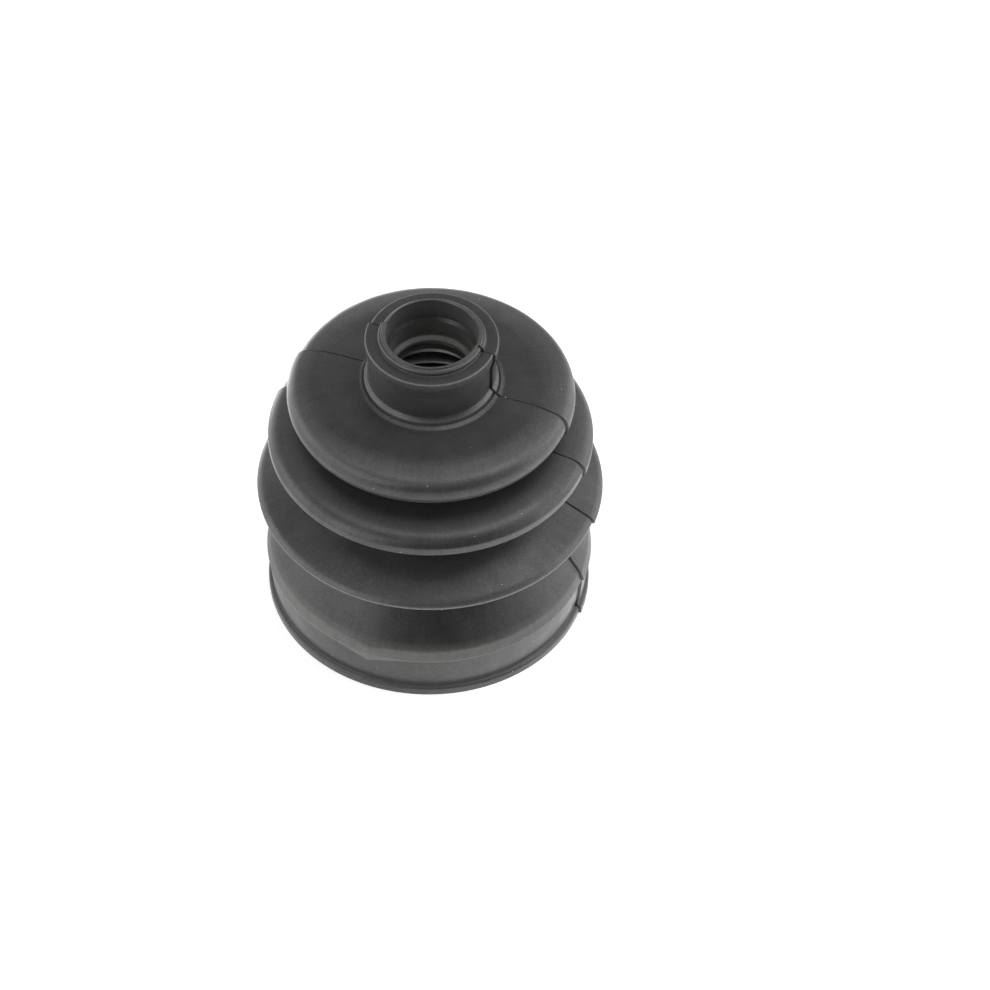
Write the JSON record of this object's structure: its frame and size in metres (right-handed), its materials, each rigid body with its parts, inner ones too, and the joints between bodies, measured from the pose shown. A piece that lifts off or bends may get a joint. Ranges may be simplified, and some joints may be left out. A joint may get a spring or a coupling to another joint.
{
  "type": "bellows boot",
  "caption": "Moulded rubber bellows boot, folds between a wide and a narrow clamp end, that seals a drive-shaft joint and keeps its grease in.",
  "frame": {"origin": "centre of the large end's resting face", "axes": "+Z along the shaft from the large end to the small end; X lies in the mould's parting plane, towards a parting line"},
  "size_m": [0.085, 0.0844, 0.0859],
  "materials": {
    "rubber": "matte"
  },
  "bodies": {
    "root": {"bellows_boot": "rubber"}
  },
  "joints": []
}
